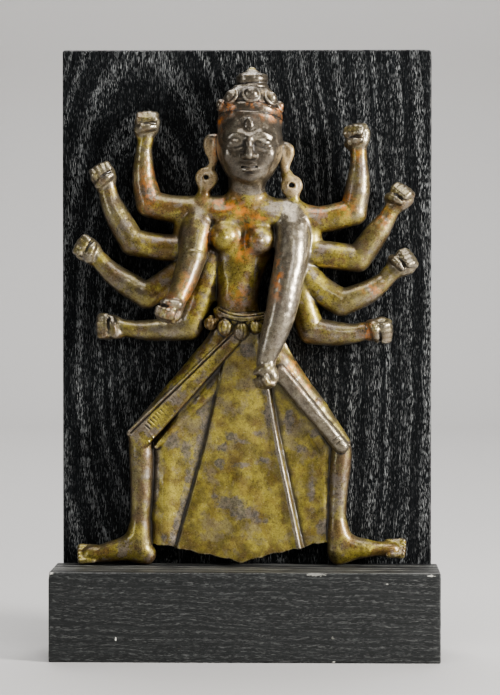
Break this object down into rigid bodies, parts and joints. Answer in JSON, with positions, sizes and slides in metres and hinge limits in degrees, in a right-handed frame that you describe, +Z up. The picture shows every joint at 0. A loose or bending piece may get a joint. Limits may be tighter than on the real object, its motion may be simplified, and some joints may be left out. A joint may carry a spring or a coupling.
{
  "type": "durga statue on display stand",
  "caption": "Small cast figure of a many-armed standing goddess with closed fists and a pleated skirt, in front of a dark oak panel on an oak plinth.",
  "frame": {"origin": "middle of the underside, on the surface that the stand rests on", "axes": "+Z up, -Y the way the figure faces, +X to the viewer's right"},
  "size_m": [0.191, 0.058, 0.3015],
  "materials": {
    "cast_brass": "aged, with olive and dark brown patina, polished on the high points",
    "panel_oak": "black stain, open grain with pale pores, satin",
    "plinth_oak": "black stain, open grain with pale pores, satin"
  },
  "bodies": {
    "root": {"figure": "cast_brass", "panel": "panel_oak", "plinth": "plinth_oak"}
  },
  "joints": []
}
